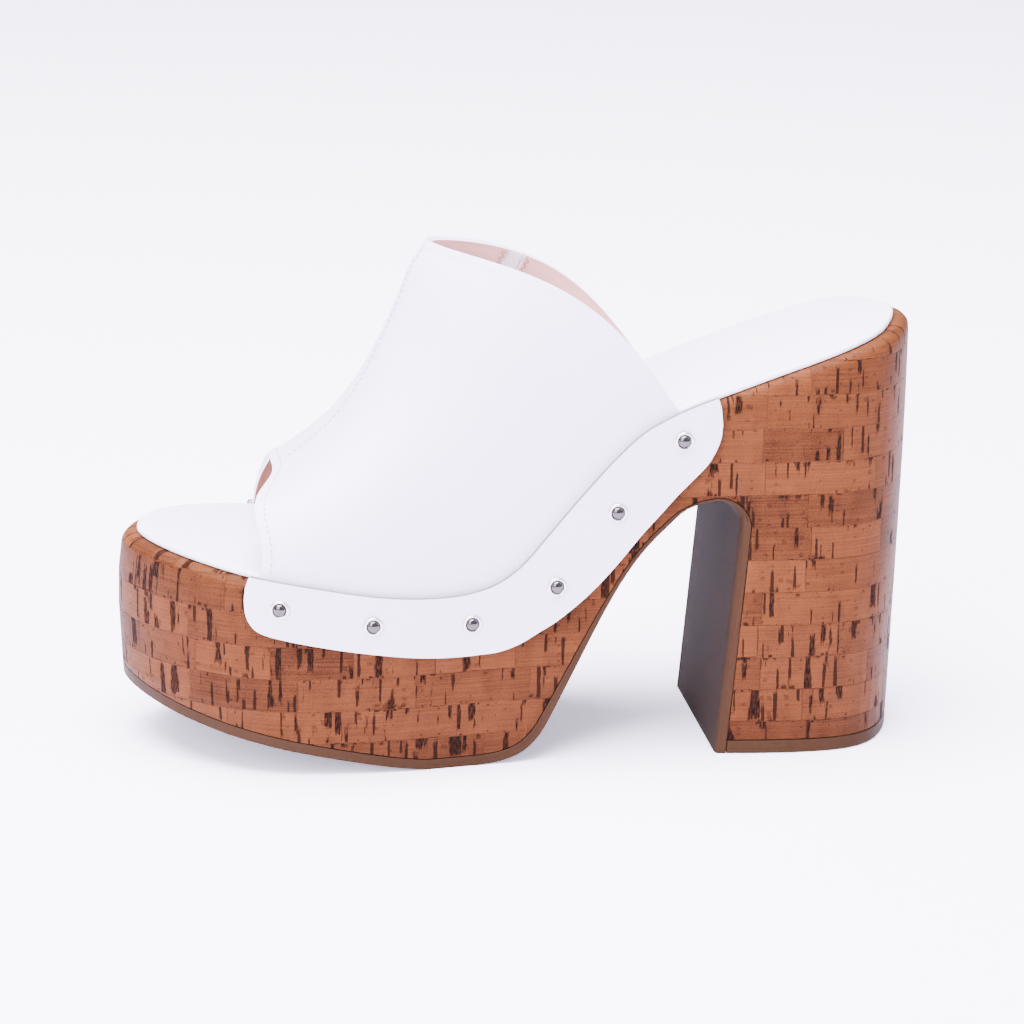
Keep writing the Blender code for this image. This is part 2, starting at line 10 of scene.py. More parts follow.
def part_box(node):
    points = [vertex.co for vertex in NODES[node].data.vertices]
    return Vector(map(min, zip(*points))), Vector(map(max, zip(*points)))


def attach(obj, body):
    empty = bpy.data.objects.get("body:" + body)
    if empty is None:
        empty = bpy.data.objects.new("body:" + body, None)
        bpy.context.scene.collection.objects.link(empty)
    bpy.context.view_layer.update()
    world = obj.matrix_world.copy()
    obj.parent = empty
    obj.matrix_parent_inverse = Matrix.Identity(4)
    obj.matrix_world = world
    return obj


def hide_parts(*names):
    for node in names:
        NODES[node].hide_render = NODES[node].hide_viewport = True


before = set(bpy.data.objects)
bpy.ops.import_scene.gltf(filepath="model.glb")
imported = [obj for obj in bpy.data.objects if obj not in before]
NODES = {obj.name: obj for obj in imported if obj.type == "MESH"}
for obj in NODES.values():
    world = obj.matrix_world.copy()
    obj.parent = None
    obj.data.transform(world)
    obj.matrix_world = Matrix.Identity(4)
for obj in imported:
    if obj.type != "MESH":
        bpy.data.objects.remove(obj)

bl_info = {
    "name": "Cork platform sandal",
    "version": (1, 0, 0),
    "blender": (4, 5, 0),
    "location": "View3D > Sidebar > Sandal",
    "description": "Leather, cork and metal finish of a cork platform sandal",
    "category": "Object",
}

LATERAL = 1
MEDIAL = -1
SIDES = (("lateral", LATERAL), ("medial", MEDIAL))

# Top of the insole and the rim's half widths along the band, in metres
Rim = namedtuple("Rim", "x height lateral medial")
RIM = (
    Rim(0.0256, 0.11032, 0.03299, 0.03293),
    Rim(0.0326, 0.10788, 0.03295, 0.03283),
    Rim(0.0396, 0.10532, 0.03301, 0.03282),
    Rim(0.0465, 0.10222, 0.03323, 0.03301),
    Rim(0.0535, 0.09829, 0.03360, 0.03332),
    Rim(0.0604, 0.09219, 0.03404, 0.03376),
    Rim(0.0674, 0.08477, 0.03451, 0.03434),
    Rim(0.0744, 0.07687, 0.03494, 0.03505),
    Rim(0.0813, 0.06871, 0.03538, 0.03586),
    Rim(0.0883, 0.06079, 0.03587, 0.03674),
    Rim(0.0952, 0.05591, 0.03648, 0.03767),
    Rim(0.1022, 0.05360, 0.03731, 0.03870),
    Rim(0.1092, 0.05280, 0.03842, 0.03991),
    Rim(0.1161, 0.05285, 0.03959, 0.04114),
    Rim(0.1231, 0.05332, 0.04059, 0.04221),
    Rim(0.1300, 0.05412, 0.04121, 0.04296),
    Rim(0.1370, 0.05523, 0.04153, 0.04343),
    Rim(0.1440, 0.05654, 0.04161, 0.04369),
    Rim(0.1509, 0.05783, 0.04138, 0.04371),
    Rim(0.1579, 0.05908, 0.04062, 0.04331),
    Rim(0.1648, 0.06019, 0.03867, 0.04197),
    Rim(0.1718, 0.06119, 0.03559, 0.03988),
    Rim(0.1788, 0.06208, 0.03105, 0.03729),
)

# Arched sections of the band, from the toe opening to the topline: where each foot and the
# crest stand, the arch's exponent, how high its sides bend most, and how far they bend back
Arch = namedtuple("Arch", "lateral medial crest height square lean lateral_sway medial_sway")
ARCHES = (
    Arch(0.1644, 0.1597, 0.1569, 0.0819, 2.30, 2.6, -0.230, 0.040),
    Arch(0.1498, 0.1467, 0.1481, 0.0882, 2.30, 2.0, -0.150, 0.010),
    Arch(0.1335, 0.1319, 0.1391, 0.0964, 2.30, 1.5, -0.075, 0.000),
    Arch(0.1161, 0.1154, 0.1319, 0.1065, 2.25, 1.1, -0.010, 0.000),
    Arch(0.0987, 0.0985, 0.1263, 0.1175, 2.20, 1.0, 0.025, 0.020),
    Arch(0.0813, 0.0813, 0.1212, 0.1291, 2.10, 1.0, 0.065, 0.055),
    Arch(0.0628, 0.0628, 0.1168, 0.1408, 1.95, 1.0, 0.105, 0.090),
    Arch(0.0423, 0.0423, 0.1119, 0.1480, 1.80, 1.0, 0.140, 0.122),
)
RIDGE = -0.0025
FOOT_DROP = 0.0018

# Edges of a side strip: shares of the way to its front, and depths in shares of its width
STRIP_TOP = ((0.0, 0.48), (0.0034, 0.20), (0.010, 0.0), (0.990, 0.0), (0.9975, 0.20), (1.0, 0.42))
STRIP_LOW = (
    (0.0, 0.48),
    (0.0034, 0.73),
    (0.0170, 0.96),
    (0.0370, 1.14),
    (0.0895, 1.40),
    (0.1520, 1.70),
    (0.2160, 1.88),
    (0.2780, 1.87),
    (0.3410, 1.70),
    (0.4050, 1.40),
    (0.4690, 1.20),
    (0.5330, 1.08),
    (0.6310, 1.03),
    (0.7250, 1.00),
    (0.8200, 1.00),
    (0.9120, 0.985),
    (0.9680, 0.94),
    (0.9900, 0.80),
    (0.9980, 0.62),
    (1.0, 0.42),
)
STRIP_BACK = 0.03073
STRIP_FRONT = {LATERAL: 0.16831, MEDIAL: 0.16205}
STRIP_WIDTH = 0.0170
STRIP_WALL = 0.0016
STRIP_STAND = -0.0002
MEDIAL_DROP = ((0.0535, 0.0016), (0.0767, 0.0))
STUDS = 6
GAP = 0.0003

# Along the sole: where the heel breast ends, where the waist begins and where the flat begins
BREAST = 0.030
WAIST_START = 0.045
FLAT_SOLE = 0.100


def linear(red, green, blue):
    """A linear colour from 8-bit display values."""
    shares = (value / 255 for value in (red, green, blue))
    return tuple(s / 12.92 if s <= 0.04045 else ((s + 0.055) / 1.055) ** 2.4 for s in shares)


def colour(name, description, *values):
    """A colour property with its default in display values."""
    return bpy.props.FloatVectorProperty(
        name=name, description=description, subtype="COLOR", min=0.0, max=1.0, default=linear(*values)
    )


def length(name, description, default):
    """A length property in metres."""
    return bpy.props.FloatProperty(
        name=name, description=description, subtype="DISTANCE", unit="LENGTH", default=default, precision=5
    )


class SandalSizes(bpy.types.PropertyGroup):
    """Sizes of the finish, in metres."""

    wall: length("Band wall", "Thickness of the folded leather and its lining", 0.0022)
    fold: length("Folded edge", "Width of the folded band along the toe opening", 0.0030)
    fold_rise: length("Fold rise", "How far the folded edge stands proud", 0.00032)
    stitch_pitch: length("Stitch pitch", "Distance from one stitch to the next", 0.0019)
    thread: length("Thread", "Thickness of the sewing thread", 0.00038)
    slit_width: length("Slit width", "Width of the slit in the medial topline", 0.0060)
    slit_depth: length("Slit depth", "Depth of the slit in the medial topline", 0.0200)
    elastic: length("Elastic", "Thickness of the elastic in the slit", 0.0009)
    edge_round: length("Edge rounding", "Rounding of the cut leather edges", 0.00045)
    stud_radius: length("Stud radius", "Radius of a stud's collar", 0.0028)
    stud_height: length("Stud height", "Height of a stud's dome", 0.0015)
    breast_round: length("Breast rounding", "Rounding of the sole's edges at the heel breast", 0.0022)
    cork_row: length("Cork row", "Height of a row of cork blocks", 0.0098)
    cork_block: length("Cork block", "Length of a block of cork", 0.0340)


class SandalColours(bpy.types.PropertyGroup):
    """Colours of the finish."""

    leather: colour("Leather", "Smooth white leather of the band", 212, 206, 228)
    strip: colour("Strip", "White leather of the side strips", 216, 209, 228)
    # The cut edge colour is partly the raw edge's own grey and partly painted shade: a dark grey line for the gap
    # shadow along the strips' top and bottom edges.
    cut: colour("Cut edge with painted gap shadow", "Grey cut edge of the side strips", 96, 92, 104)
    insole: colour("Insole", "Soft white leather under the foot", 220, 215, 232)
    lining: colour("Lining", "Pink lining of the band", 224, 168, 158)
    # The deep lining colour is painted shade: a darker brown for the inside of the band near the toe opening, where
    # shade falls.
    painted_shade_lining: colour("Lining with painted shade", "Lining near the toe opening", 138, 84, 66)
    # The thread colour is painted shade: a grey for the white thread that draws the shade in the stitch grooves and
    # needle holes.
    thread: colour("Thread", "White sewing thread", 150, 145, 156)
    zigzag: colour("Zigzag thread", "Beige thread beside the elastic", 150, 104, 78)
    elastic: colour("Elastic", "White elastic", 240, 234, 236)
    cork_light: colour("Light cork", "Palest blocks of cork", 96, 53, 28)
    cork_dark: colour("Dark cork", "Deepest blocks of cork", 42, 19, 8)
    pore: colour("Cork pore", "Dark pores and streaks in the cork", 16, 6, 4)
    edge: colour("Sole edge", "Trimmed edge of the tan rubber", 50, 31, 18)
    # The sole face colour is painted shade: a grey-brown for the heel breast and the underside of the same tan
    # rubber, where shade falls.
    painted_shade_face: colour("Sole face with painted shade", "Flat face of the tan rubber", 37, 26, 22)
    metal: colour("Metal", "Polished nickel colour", 226, 223, 226)
    # The dome colour is partly a darker polish and partly painted reflection: it puts the dark surroundings the domes
    # mirror into their colour.
    dome: colour("Dome", "Dark polish of a stud's dome", 84, 81, 83)
    floor: colour("Floor", "Pale studio floor", 244, 239, 255)


def smooth(rows, steps):
    """A Catmull-Rom curve through the rows, with steps pieces between neighbours."""
    rows = np.array(rows, float)
    rows = np.vstack([2 * rows[0] - rows[1], rows, 2 * rows[-1] - rows[-2]])
    curve = []
    for a, b, c, d in zip(rows, rows[1:], rows[2:], rows[3:]):
        for t in np.arange(steps) / steps:
            square = 2 * a - 5 * b + 4 * c - d
            cube = 3 * b - a - 3 * c + d
            curve.append((2 * b + (c - a) * t + square * t**2 + cube * t**3) / 2)
    return np.array([*curve, rows[-2]])


RIM_CURVE = smooth(RIM, 10)


def rim(x, column):
    """A value of the rim table at x."""
    return np.interp(x, RIM_CURVE[:, 0], RIM_CURVE[:, column])


def half_width(x, side):
    """Signed distance of one side of the rim from the x axis."""
    return side * rim(x, 2 if side == LATERAL else 3)


def rim_slope(x, side):
    """How fast one side of the rim moves sideways along x."""
    return (half_width(x + GAP, side) - half_width(x - GAP, side)) / (2 * GAP)


def band_surface():
    """The band's outer surface as rows of x, y, z, distance from the toe opening and distance from
    the lateral foot, finely sampled."""
    rows = []
    for lateral, medial, crest_x, crest_z, square, lean, *sways in smooth(ARCHES, 10):
        halves = []
        for side, foot_x, sway in zip((LATERAL, MEDIAL), (lateral, medial), sways):
            foot_z = rim(foot_x, 1) - FOOT_DROP
            foot_y = half_width(foot_x, side)
            angle = np.linspace(0, pi / 2, 121)
            across = np.cos(angle) ** (2 / square)
            up = np.sin(angle) ** (2 / square)
            bend = sway * np.sin(pi * up**lean)
            x = foot_x + up * (crest_x - foot_x) - bend * (crest_z - foot_z)
            z = foot_z + up * (crest_z - foot_z) + bend * (crest_x - foot_x)
            halves.append(np.column_stack([x, RIDGE + across * (foot_y - RIDGE), z]))
        curve = np.vstack([halves[0], halves[1][-2::-1]])
        run = np.concatenate([[0], np.cumsum(np.linalg.norm(np.diff(curve, axis=0), axis=1))])
        even = np.linspace(0, run[-1], 161)
        rows.append(np.column_stack([np.interp(even, run, curve[:, k]) for k in range(3)]))
    rows = np.array(rows)
    ahead = np.linalg.norm(np.diff(rows, axis=0), axis=2)
    across = np.linalg.norm(np.diff(rows, axis=1), axis=2)
    ahead = np.vstack([np.zeros((1, rows.shape[1])), np.cumsum(ahead, axis=0)])
    across = np.hstack([np.zeros((rows.shape[0], 1)), np.cumsum(across, axis=1)])
    return np.dstack([rows, ahead, across])


BAND = band_surface()
SLIT_PLACE = 0.708


def band_at(u, v):
    """A point of the band, u from the lateral foot to the medial one, v from the front to the topline."""
    row = min(max(v, 0.0), 1.0) * (BAND.shape[0] - 1)
    column = min(max(u, 0.0), 1.0) * (BAND.shape[1] - 1)
    i = min(int(row), BAND.shape[0] - 2)
    j = min(int(column), BAND.shape[1] - 2)
    s, t = row - i, column - j
    near = BAND[i, j] * (1 - t) + BAND[i, j + 1] * t
    far = BAND[i + 1, j] * (1 - t) + BAND[i + 1, j + 1] * t
    return near * (1 - s) + far * s


def band_normal(u, v):
    """The band's outward direction at a place."""
    step = 0.004
    along = band_at(u, min(v + step, 1.0))[:3] - band_at(u, max(v - step, 0.0))[:3]
    across = band_at(min(u + step, 1.0), v)[:3] - band_at(max(u - step, 0.0), v)[:3]
    return Vector(np.cross(along, across)).normalized()


def share_at(u, distance):
    """The share v that lies a distance behind the toe opening, or before the topline if negative."""
    column = min(max(u, 0.0), 1.0) * (BAND.shape[1] - 1)
    j = min(int(column), BAND.shape[1] - 2)
    run = BAND[:, j, 3] * (j + 1 - column) + BAND[:, j + 1, 3] * (column - j)
    shares = np.linspace(0, 1, len(run))
    return float(np.interp(distance if distance >= 0 else run[-1] + distance, run, shares))


def new_piece(name, bm, looks, slot, *replaced, smooth_angle=40):
    """A finished mesh piece that rides on the shoe's one body."""
    mesh = bpy.data.meshes.new(name)
    bm.to_mesh(mesh)
    bm.free()
    for look in looks:
        mesh.materials.append(look)
    mesh.shade_smooth()
    mesh.set_sharp_from_angle(angle=radians(smooth_angle))
    piece = bpy.data.objects.new(name, mesh)
    bpy.context.scene.collection.objects.link(piece)
    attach(piece, "root")
    if replaced:
        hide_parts(*replaced)
    return piece


def cad_copy(node, tidy=True):
    """A merged copy of a CAD node's mesh."""
    bm = bmesh.new()
    bm.from_mesh(NODES[node].data)
    bmesh.ops.remove_doubles(bm, verts=bm.verts[:], dist=0.00001)
    if tidy:
        bmesh.ops.dissolve_limit(bm, angle_limit=radians(0.6), verts=bm.verts[:], edges=bm.edges[:])
    return bm


def rounded(piece, width, segments=2, angle=40):
    """Rounds a piece's edges."""
    bevel = piece.modifiers.new("edge rounding", "BEVEL")
    bevel.width = width
    bevel.segments = segments
    bevel.limit_method = "ANGLE"
    bevel.angle_limit = radians(angle)
    bevel.use_clamp_overlap = True


def grid(columns, rows):
    """A flat grid over the unit square, to be laid on a surface."""
    bm = bmesh.new()
    bmesh.ops.create_grid(bm, x_segments=columns, y_segments=rows, size=0.5)
    bmesh.ops.translate(bm, verts=bm.verts[:], vec=(0.5, 0.5, 0))
    return bm


class Net:
    """Short calls for building a node tree."""

    def __init__(self, tree):
        self.tree = tree

    def node(self, kind, **settings):
        made = self.tree.nodes.new("ShaderNode" + kind)
        for key, value in settings.items():
            setattr(made, key, value)
        return made

    def put(self, value, socket):
        if isinstance(value, bpy.types.NodeSocket):
            self.tree.links.new(value, socket)
        elif hasattr(value, "__len__") and len(value) == 3 and len(socket.default_value) == 4:
            socket.default_value = (*value, 1.0)
        else:
            socket.default_value = value

    def math(self, operation, *values, clamp=False):
        made = self.node("Math", operation=operation, use_clamp=clamp)
        for value, socket in zip(values, made.inputs):
            self.put(value, socket)
        return made.outputs[0]

    def mix(self, share, first, second, blend="MIX"):
        made = self.node("Mix", data_type="RGBA", blend_type=blend)
        self.put(share, made.inputs[0])
        self.put(first, made.inputs[6])
        self.put(second, made.inputs[7])
        return made.outputs[2]

    def scaled(self, vector, scale, shift=(0, 0, 0)):
        made = self.node("Mapping")
        self.put(vector, made.inputs["Vector"])
        made.inputs["Scale"].default_value = scale
        self.put(shift, made.inputs["Location"])
        return made.outputs[0]

    def split(self, vector):
        made = self.node("SeparateXYZ")
        self.put(vector, made.inputs[0])
        return made.outputs

    def grey(self, value):
        made = self.node("CombineColor")
        for socket in made.inputs[:3]:
            self.put(value, socket)
        return made.outputs[0]

    def noise(self, vector, scale, detail=2.0, rough=0.5):
        made = self.node("TexNoise")
        self.put(vector, made.inputs["Vector"])
        made.inputs["Scale"].default_value = scale
        made.inputs["Detail"].default_value = detail
        made.inputs["Roughness"].default_value = rough
        return made.outputs[0]

    def ramp(self, value, low, high, start=0.0, end=1.0):
        made = self.node("MapRange")
        for item, socket in zip((value, low, high, start, end), made.inputs):
            self.put(item, socket)
        return made.outputs[0]


def group(name, inputs, outputs):
    """A new shader node group with its sockets, as a tree, a net, its inputs and its end."""
    tree = bpy.data.node_groups.new(name, "ShaderNodeTree")
    for label, kind, default in inputs:
        socket = tree.interface.new_socket(label, in_out="INPUT", socket_type="NodeSocket" + kind)
        if default is not None:
            socket.default_value = default
    for label, kind in outputs:
        tree.interface.new_socket(label, in_out="OUTPUT", socket_type="NodeSocket" + kind)
    net = Net(tree)
    return tree, net, tree.nodes.new("NodeGroupInput").outputs, tree.nodes.new("NodeGroupOutput").inputs


def leather_grain():
    """Fine pebbled grain, soft creases and a slight change of tone."""
    name = "Leather grain"
    if name in bpy.data.node_groups:
        return bpy.data.node_groups[name]
    inputs = (("Vector", "Vector", None), ("Grain", "Float", 1500.0), ("Tone", "Float", 0.02))
    tree, net, given, end = group(name, inputs, (("Height", "Float"), ("Shade", "Float")))
    cells = net.node("TexVoronoi", feature="DISTANCE_TO_EDGE")
    net.put(given["Vector"], cells.inputs["Vector"])
    net.put(given["Grain"], cells.inputs["Scale"])
    pebble = net.ramp(cells.outputs["Distance"], 0.0, 0.25)
    crease = net.noise(given["Vector"], 260.0, 4.0, 0.6)
    swell = net.noise(given["Vector"], 38.0, 1.0)
    height = net.math("ADD", net.math("MULTIPLY", pebble, 0.35), net.math("MULTIPLY", crease, 0.5))
    net.put(net.math("ADD", height, net.math("MULTIPLY", swell, 0.9)), end["Height"])
    shade = net.math("SUBTRACT", 1.0, net.math("MULTIPLY", swell, given["Tone"]))
    net.put(shade, end["Shade"])
    return tree


def cork_sheet(row, block):
    """Blocks of cork sheet with growth lines, pores and streaks, in the piece's UV map."""
    inputs = (
        ("Vector", "Vector", None),
        ("Light", "Color", (1, 1, 1, 1)),
        ("Dark", "Color", (0.5, 0.5, 0.5, 1)),
        ("Pore", "Color", (0, 0, 0, 1)),
    )
    outputs = (("Color", "Color"), ("Height", "Float"), ("Roughness", "Float"))
    tree, net, given, end = group("Cork sheet", inputs, outputs)
    place = given["Vector"]
    wobble = net.math("MULTIPLY", net.math("SUBTRACT", net.noise(place, 90.0, 2.0), 0.5), 0.0009)
    shift = net.node("CombineXYZ")
    net.put(wobble, shift.inputs[0])
    net.put(wobble, shift.inputs[1])
    waved = net.node("VectorMath", operation="ADD")
    net.put(place, waved.inputs[0])
    net.put(shift.outputs[0], waved.inputs[1])
    bricks = net.node("TexBrick", offset=0.37, offset_frequency=2, squash=0.7, squash_frequency=3)
    net.put(waved.outputs[0], bricks.inputs["Vector"])
    for label, value in (
        ("Color1", (0, 0, 0, 1)),
        ("Color2", (1, 1, 1, 1)),
        ("Mortar", (0.5, 0.5, 0.5, 1)),
        ("Scale", 1.0),
        ("Mortar Size", 0.00016),
        ("Mortar Smooth", 0.6),
        ("Bias", 0.0),
        ("Brick Width", block),
        ("Row Height", row),
    ):
        bricks.inputs[label].default_value = value
    tone = bricks.outputs["Color"]
    seam = bricks.outputs["Fac"]
    tone_value = net.node("RGBToBW")
    net.put(tone, tone_value.inputs[0])
    tone = tone_value.outputs[0]
    jump = net.node("CombineXYZ")
    net.put(net.math("MULTIPLY", tone, 17.3), jump.inputs[0])
    net.put(net.math("MULTIPLY", tone, 9.7), jump.inputs[1])
    patches = net.noise(net.scaled(place, (45, 60, 1), jump.outputs[0]), 1.0, 1.0)
    crowd = net.ramp(patches, 0.34, 0.62, 0.35, 1.15)
    ragged = net.noise(net.scaled(place, (1500, 420, 1)), 1.0, 2.0)

    def marks(width, height, least, most, rough):
        cells = net.node("TexVoronoi", voronoi_dimensions="2D", distance="CHEBYCHEV")
        net.put(net.scaled(place, (1 / width, 1 / height, 1), jump.outputs[0]), cells.inputs["Vector"])
        cells.inputs["Scale"].default_value = 1.0
        cells.inputs["Randomness"].default_value = 0.85
        chance = net.node("SeparateColor")
        net.put(cells.outputs["Color"], chance.inputs[0])
        reach = net.math("MULTIPLY", net.ramp(chance.outputs[0], least, 1.0, 0.0, most), crowd)
        wave = net.math("MULTIPLY", net.math("SUBTRACT", ragged, 0.5), rough)
        inside = net.math("SUBTRACT", reach, net.math("ADD", cells.outputs["Distance"], wave))
        return net.math("MULTIPLY", inside, 14.0, clamp=True), chance.outputs[1]

    bars, bar_chance = marks(0.0052, 0.0190, 0.60, 0.36, 0.26)
    streaks, _ = marks(0.0030, 0.0210, 0.44, 0.36, 0.30)
    lines, _ = marks(0.0017, 0.0190, 0.48, 0.36, 0.32)
    specks, _ = marks(0.0026, 0.0022, 0.60, 0.32, 0.60)
    hatch = net.ramp(net.noise(net.scaled(place, (3200, 500, 1)), 1.0, 1.0), 0.36, 0.58, 0.62, 1.0)
    beside = net.math("PINGPONG", net.split(place)[1], row / 2)
    near_seam = net.math("MULTIPLY", net.ramp(beside, 0.0, 0.0016, 1.0, 0.35), specks)
    dark = net.math("MAXIMUM", net.math("MULTIPLY", bars, hatch), net.math("MULTIPLY", streaks, hatch))
    dark = net.math("MAXIMUM", dark, net.math("MULTIPLY", lines, 0.85))
    dark = net.math("MAXIMUM", dark, near_seam)
    growth = net.noise(net.scaled(place, (40, 1900, 1), jump.outputs[0]), 1.0, 3.0, 0.6)
    cloud = net.noise(net.scaled(place, (160, 90, 1), jump.outputs[0]), 1.0, 3.0, 0.6)
    grain = net.noise(net.scaled(place, (2400, 2400, 1)), 1.0, 2.0)
    share = net.math("ADD", net.math("MULTIPLY", tone, 0.42), net.math("MULTIPLY", cloud, 0.58))
    share = net.math("ADD", share, net.math("MULTIPLY", net.math("SUBTRACT", growth, 0.5), 1.0))
    share = net.math("ADD", share, net.math("MULTIPLY", net.math("SUBTRACT", grain, 0.5), 0.9), clamp=True)
    ground = net.mix(share, given["Dark"], given["Light"])
    ground = net.mix(net.math("MULTIPLY", seam, 0.16), ground, given["Pore"])
    net.put(net.mix(dark, ground, given["Pore"]), end["Color"])
    sunk = net.math("ADD", net.math("MULTIPLY", dark, 0.9), net.math("MULTIPLY", seam, 0.5))
    relief = net.math("ADD", net.math("MULTIPLY", grain, 0.25), net.math("MULTIPLY", growth, 0.2))
    net.put(net.math("SUBTRACT", relief, sunk), end["Height"])
    net.put(net.ramp(dark, 0.0, 1.0, 0.50, 0.78), end["Roughness"])
    return tree


def new_material(name, base, roughness, **fixed):
    """A Principled material, its net, its shader and a place for bump."""
    made = bpy.data.materials.new(name)
    made.use_nodes = True
    net = Net(made.node_tree)
    shader = made.node_tree.nodes["Principled BSDF"]
    net.put(base, shader.inputs["Base Color"])
    shader.inputs["Roughness"].default_value = roughness
    for key, value in fixed.items():
        shader.inputs[key.replace("_", " ")].default_value = value
    return made, net, shader


def add_bump(net, shader, height, strength, distance):
    """Relief from a height, on the shader's normal."""
    bump = net.node("Bump")
    bump.inputs["Strength"].default_value = strength
    bump.inputs["Distance"].default_value = distance
    net.put(height, bump.inputs["Height"])
    net.put(bump.outputs[0], shader.inputs["Normal"])


def leather(name, base, roughness=0.42, grain=1500.0, strength=0.25, tone=0.05):
    """Smooth leather with a fine grain."""
    made, net, shader = new_material(name, base, roughness)
    place = net.node("TexCoord").outputs["Object"]
    pattern = net.node("Group", node_tree=leather_grain())
    net.put(place, pattern.inputs["Vector"])
    pattern.inputs["Grain"].default_value = grain
    pattern.inputs["Tone"].default_value = tone
    tint = net.grey(pattern.outputs["Shade"])
    net.put(net.mix(1.0, base, tint, "MULTIPLY"), shader.inputs["Base Color"])
    rough = net.ramp(pattern.outputs["Height"], 0.2, 1.4, roughness + 0.07, roughness - 0.05)
    net.put(rough, shader.inputs["Roughness"])
    add_bump(net, shader, pattern.outputs["Height"], strength, 0.00012)
    return made


def cloth(name, base, pitch, roughness=0.85, strength=0.5, deep=None):
    """A fine woven cloth in the object's coordinates, deeper in colour towards the toe opening where a deep colour is
    given, which is painted shade.
    """
    made, net, shader = new_material(name, base, roughness)
    place = net.node("TexCoord").outputs["Object"]
    # Painted shade: the lining turns to the deep colour past x = 0.128 m, inside the toe opening.
    if deep:
        base = net.mix(net.ramp(net.split(place)[0], 0.128, 0.150), base, deep)
    threads = []
    for direction in ("X", "Z"):
        wave = net.node("TexWave", bands_direction=direction)
        net.put(place, wave.inputs["Vector"])
        wave.inputs["Scale"].default_value = 1 / pitch / 20 * 2 * pi
        wave.inputs["Distortion"].default_value = 1.5
        wave.inputs["Detail"].default_value = 1.0
        threads.append(wave.outputs[1])
    weave = net.math("ADD", *threads)
    fuzz = net.noise(place, 900.0, 3.0)
    tint = net.grey(net.ramp(net.math("ADD", weave, fuzz), 0.3, 2.4, 0.90, 1.0))
    net.put(net.mix(1.0, base, tint, "MULTIPLY"), shader.inputs["Base Color"])
    add_bump(net, shader, net.math("ADD", weave, fuzz), strength, 0.0001)
    return made


def rubber(name, base, roughness=0.5, gloss=0.06, face=None):
    """Trimmed rubber with fine grinding lines, and where a face colour is given a grained face in that darker colour,
    which is painted shade, wherever the wall attribute written by ease_sole fades."""
    made, net, shader = new_material(name, base, roughness, Specular_IOR_Level=gloss)
    place = net.node("TexCoord").outputs["Object"]
    mottle = net.noise(place, 420.0, 4.0, 0.6)
    broad = net.noise(place, 60.0, 2.0)
    drawn = net.noise(net.scaled(place, (120, 120, 2600)), 1.0, 2.0)
    height = net.math("ADD", mottle, net.math("MULTIPLY", drawn, 0.8))
    rough = net.ramp(mottle, 0.3, 0.7, roughness - 0.06, roughness + 0.08)
    if face:
        trim_and_shade = net.ramp(net.node("Attribute", attribute_name="trim_and_shade").outputs["Fac"], 0.12, 0.80)
        # Painted shade: away from the side walls the faces take the darker face colour.
        base = net.mix(trim_and_shade, face, base)
        rough = net.math("MAXIMUM", rough, net.ramp(trim_and_shade, 0.0, 1.0, 0.85, 0.0))
        grain = net.noise(net.scaled(place, (1200, 1200, 2000)), 1.0, 3.0, 0.7)
        height = net.math("ADD", height, net.math("MULTIPLY", net.ramp(trim_and_shade, 0.0, 1.0, 2.5, 0.0), grain))
        mottle = net.math("ADD", net.math("MULTIPLY", mottle, 0.5), net.math("MULTIPLY", grain, 0.5))
    shade = net.math("ADD", net.math("MULTIPLY", mottle, 0.5), net.math("MULTIPLY", broad, 0.5))
    tint = net.grey(net.ramp(shade, 0.3, 0.7, 0.84, 1.10))
    net.put(net.mix(1.0, base, tint, "MULTIPLY"), shader.inputs["Base Color"])
    net.put(rough, shader.inputs["Roughness"])
    add_bump(net, shader, height, 0.35, 0.00015)
    return made


def polished(name, base):
    """Polished metal with faint wipe marks."""
    made, net, shader = new_material(name, base, 0.12, Metallic=1.0)
    place = net.node("TexCoord").outputs["Object"]
    wipe = net.noise(net.scaled(place, (900, 900, 4000)), 1.0, 3.0)
    net.put(net.ramp(wipe, 0.35, 0.75, 0.08, 0.20), shader.inputs["Roughness"])
    add_bump(net, shader, wipe, 0.05, 0.00005)
    return made


def thread(name, base):
    """Twisted sewing thread."""
    made, net, shader = new_material(name, base, 0.7)
    place = net.node("TexCoord").outputs["Object"]
    twist = net.noise(place, 5200.0, 2.0)
    tint = net.mix(net.ramp(twist, 0.35, 0.65, 0.0, 0.35), base, (0.35, 0.33, 0.34))
    net.put(tint, shader.inputs["Base Color"])
    add_bump(net, shader, twist, 0.4, 0.00008)
    return made


def perimeter_map(bm):
    """A UV map in metres: the way round the shoe, and the height."""
    hull = geometry.convex_hull_2d([vert.co.xy for vert in bm.verts])
    corners = [bm.verts[index].co.xy.copy() for index in hull]
    start = min(range(len(corners)), key=lambda k: (corners[k] - Vector((0.05, -0.04))).length)
    corners = corners[start:] + corners[:start]
    sides = list(zip(corners, corners[1:] + corners[:1]))
    runs = np.concatenate([[0], np.cumsum([(b - a).length for a, b in sides])])

    def way(point):
        best, found = 1e9, 0.0
        for run, (a, b) in zip(runs, sides):
            side = b - a
            share = min(max((point - a).dot(side) / max(side.length_squared, 1e-12), 0.0), 1.0)
            gap = (a + side * share - point).length
            if gap < best:
                best, found = gap, run + share * side.length
        return found

    ways = {vert.index: way(vert.co.xy) for vert in bm.verts}
    layer = bm.loops.layers.uv.new("Way round")
    for face in bm.faces:
        first = ways[face.verts[0].index]
        for loop in face.loops:
            u = ways[loop.vert.index]
            if u - first > runs[-1] / 2:
                u -= runs[-1]
            elif first - u > runs[-1] / 2:
                u += runs[-1]
            loop[layer].uv = (u, loop.vert.co.z)


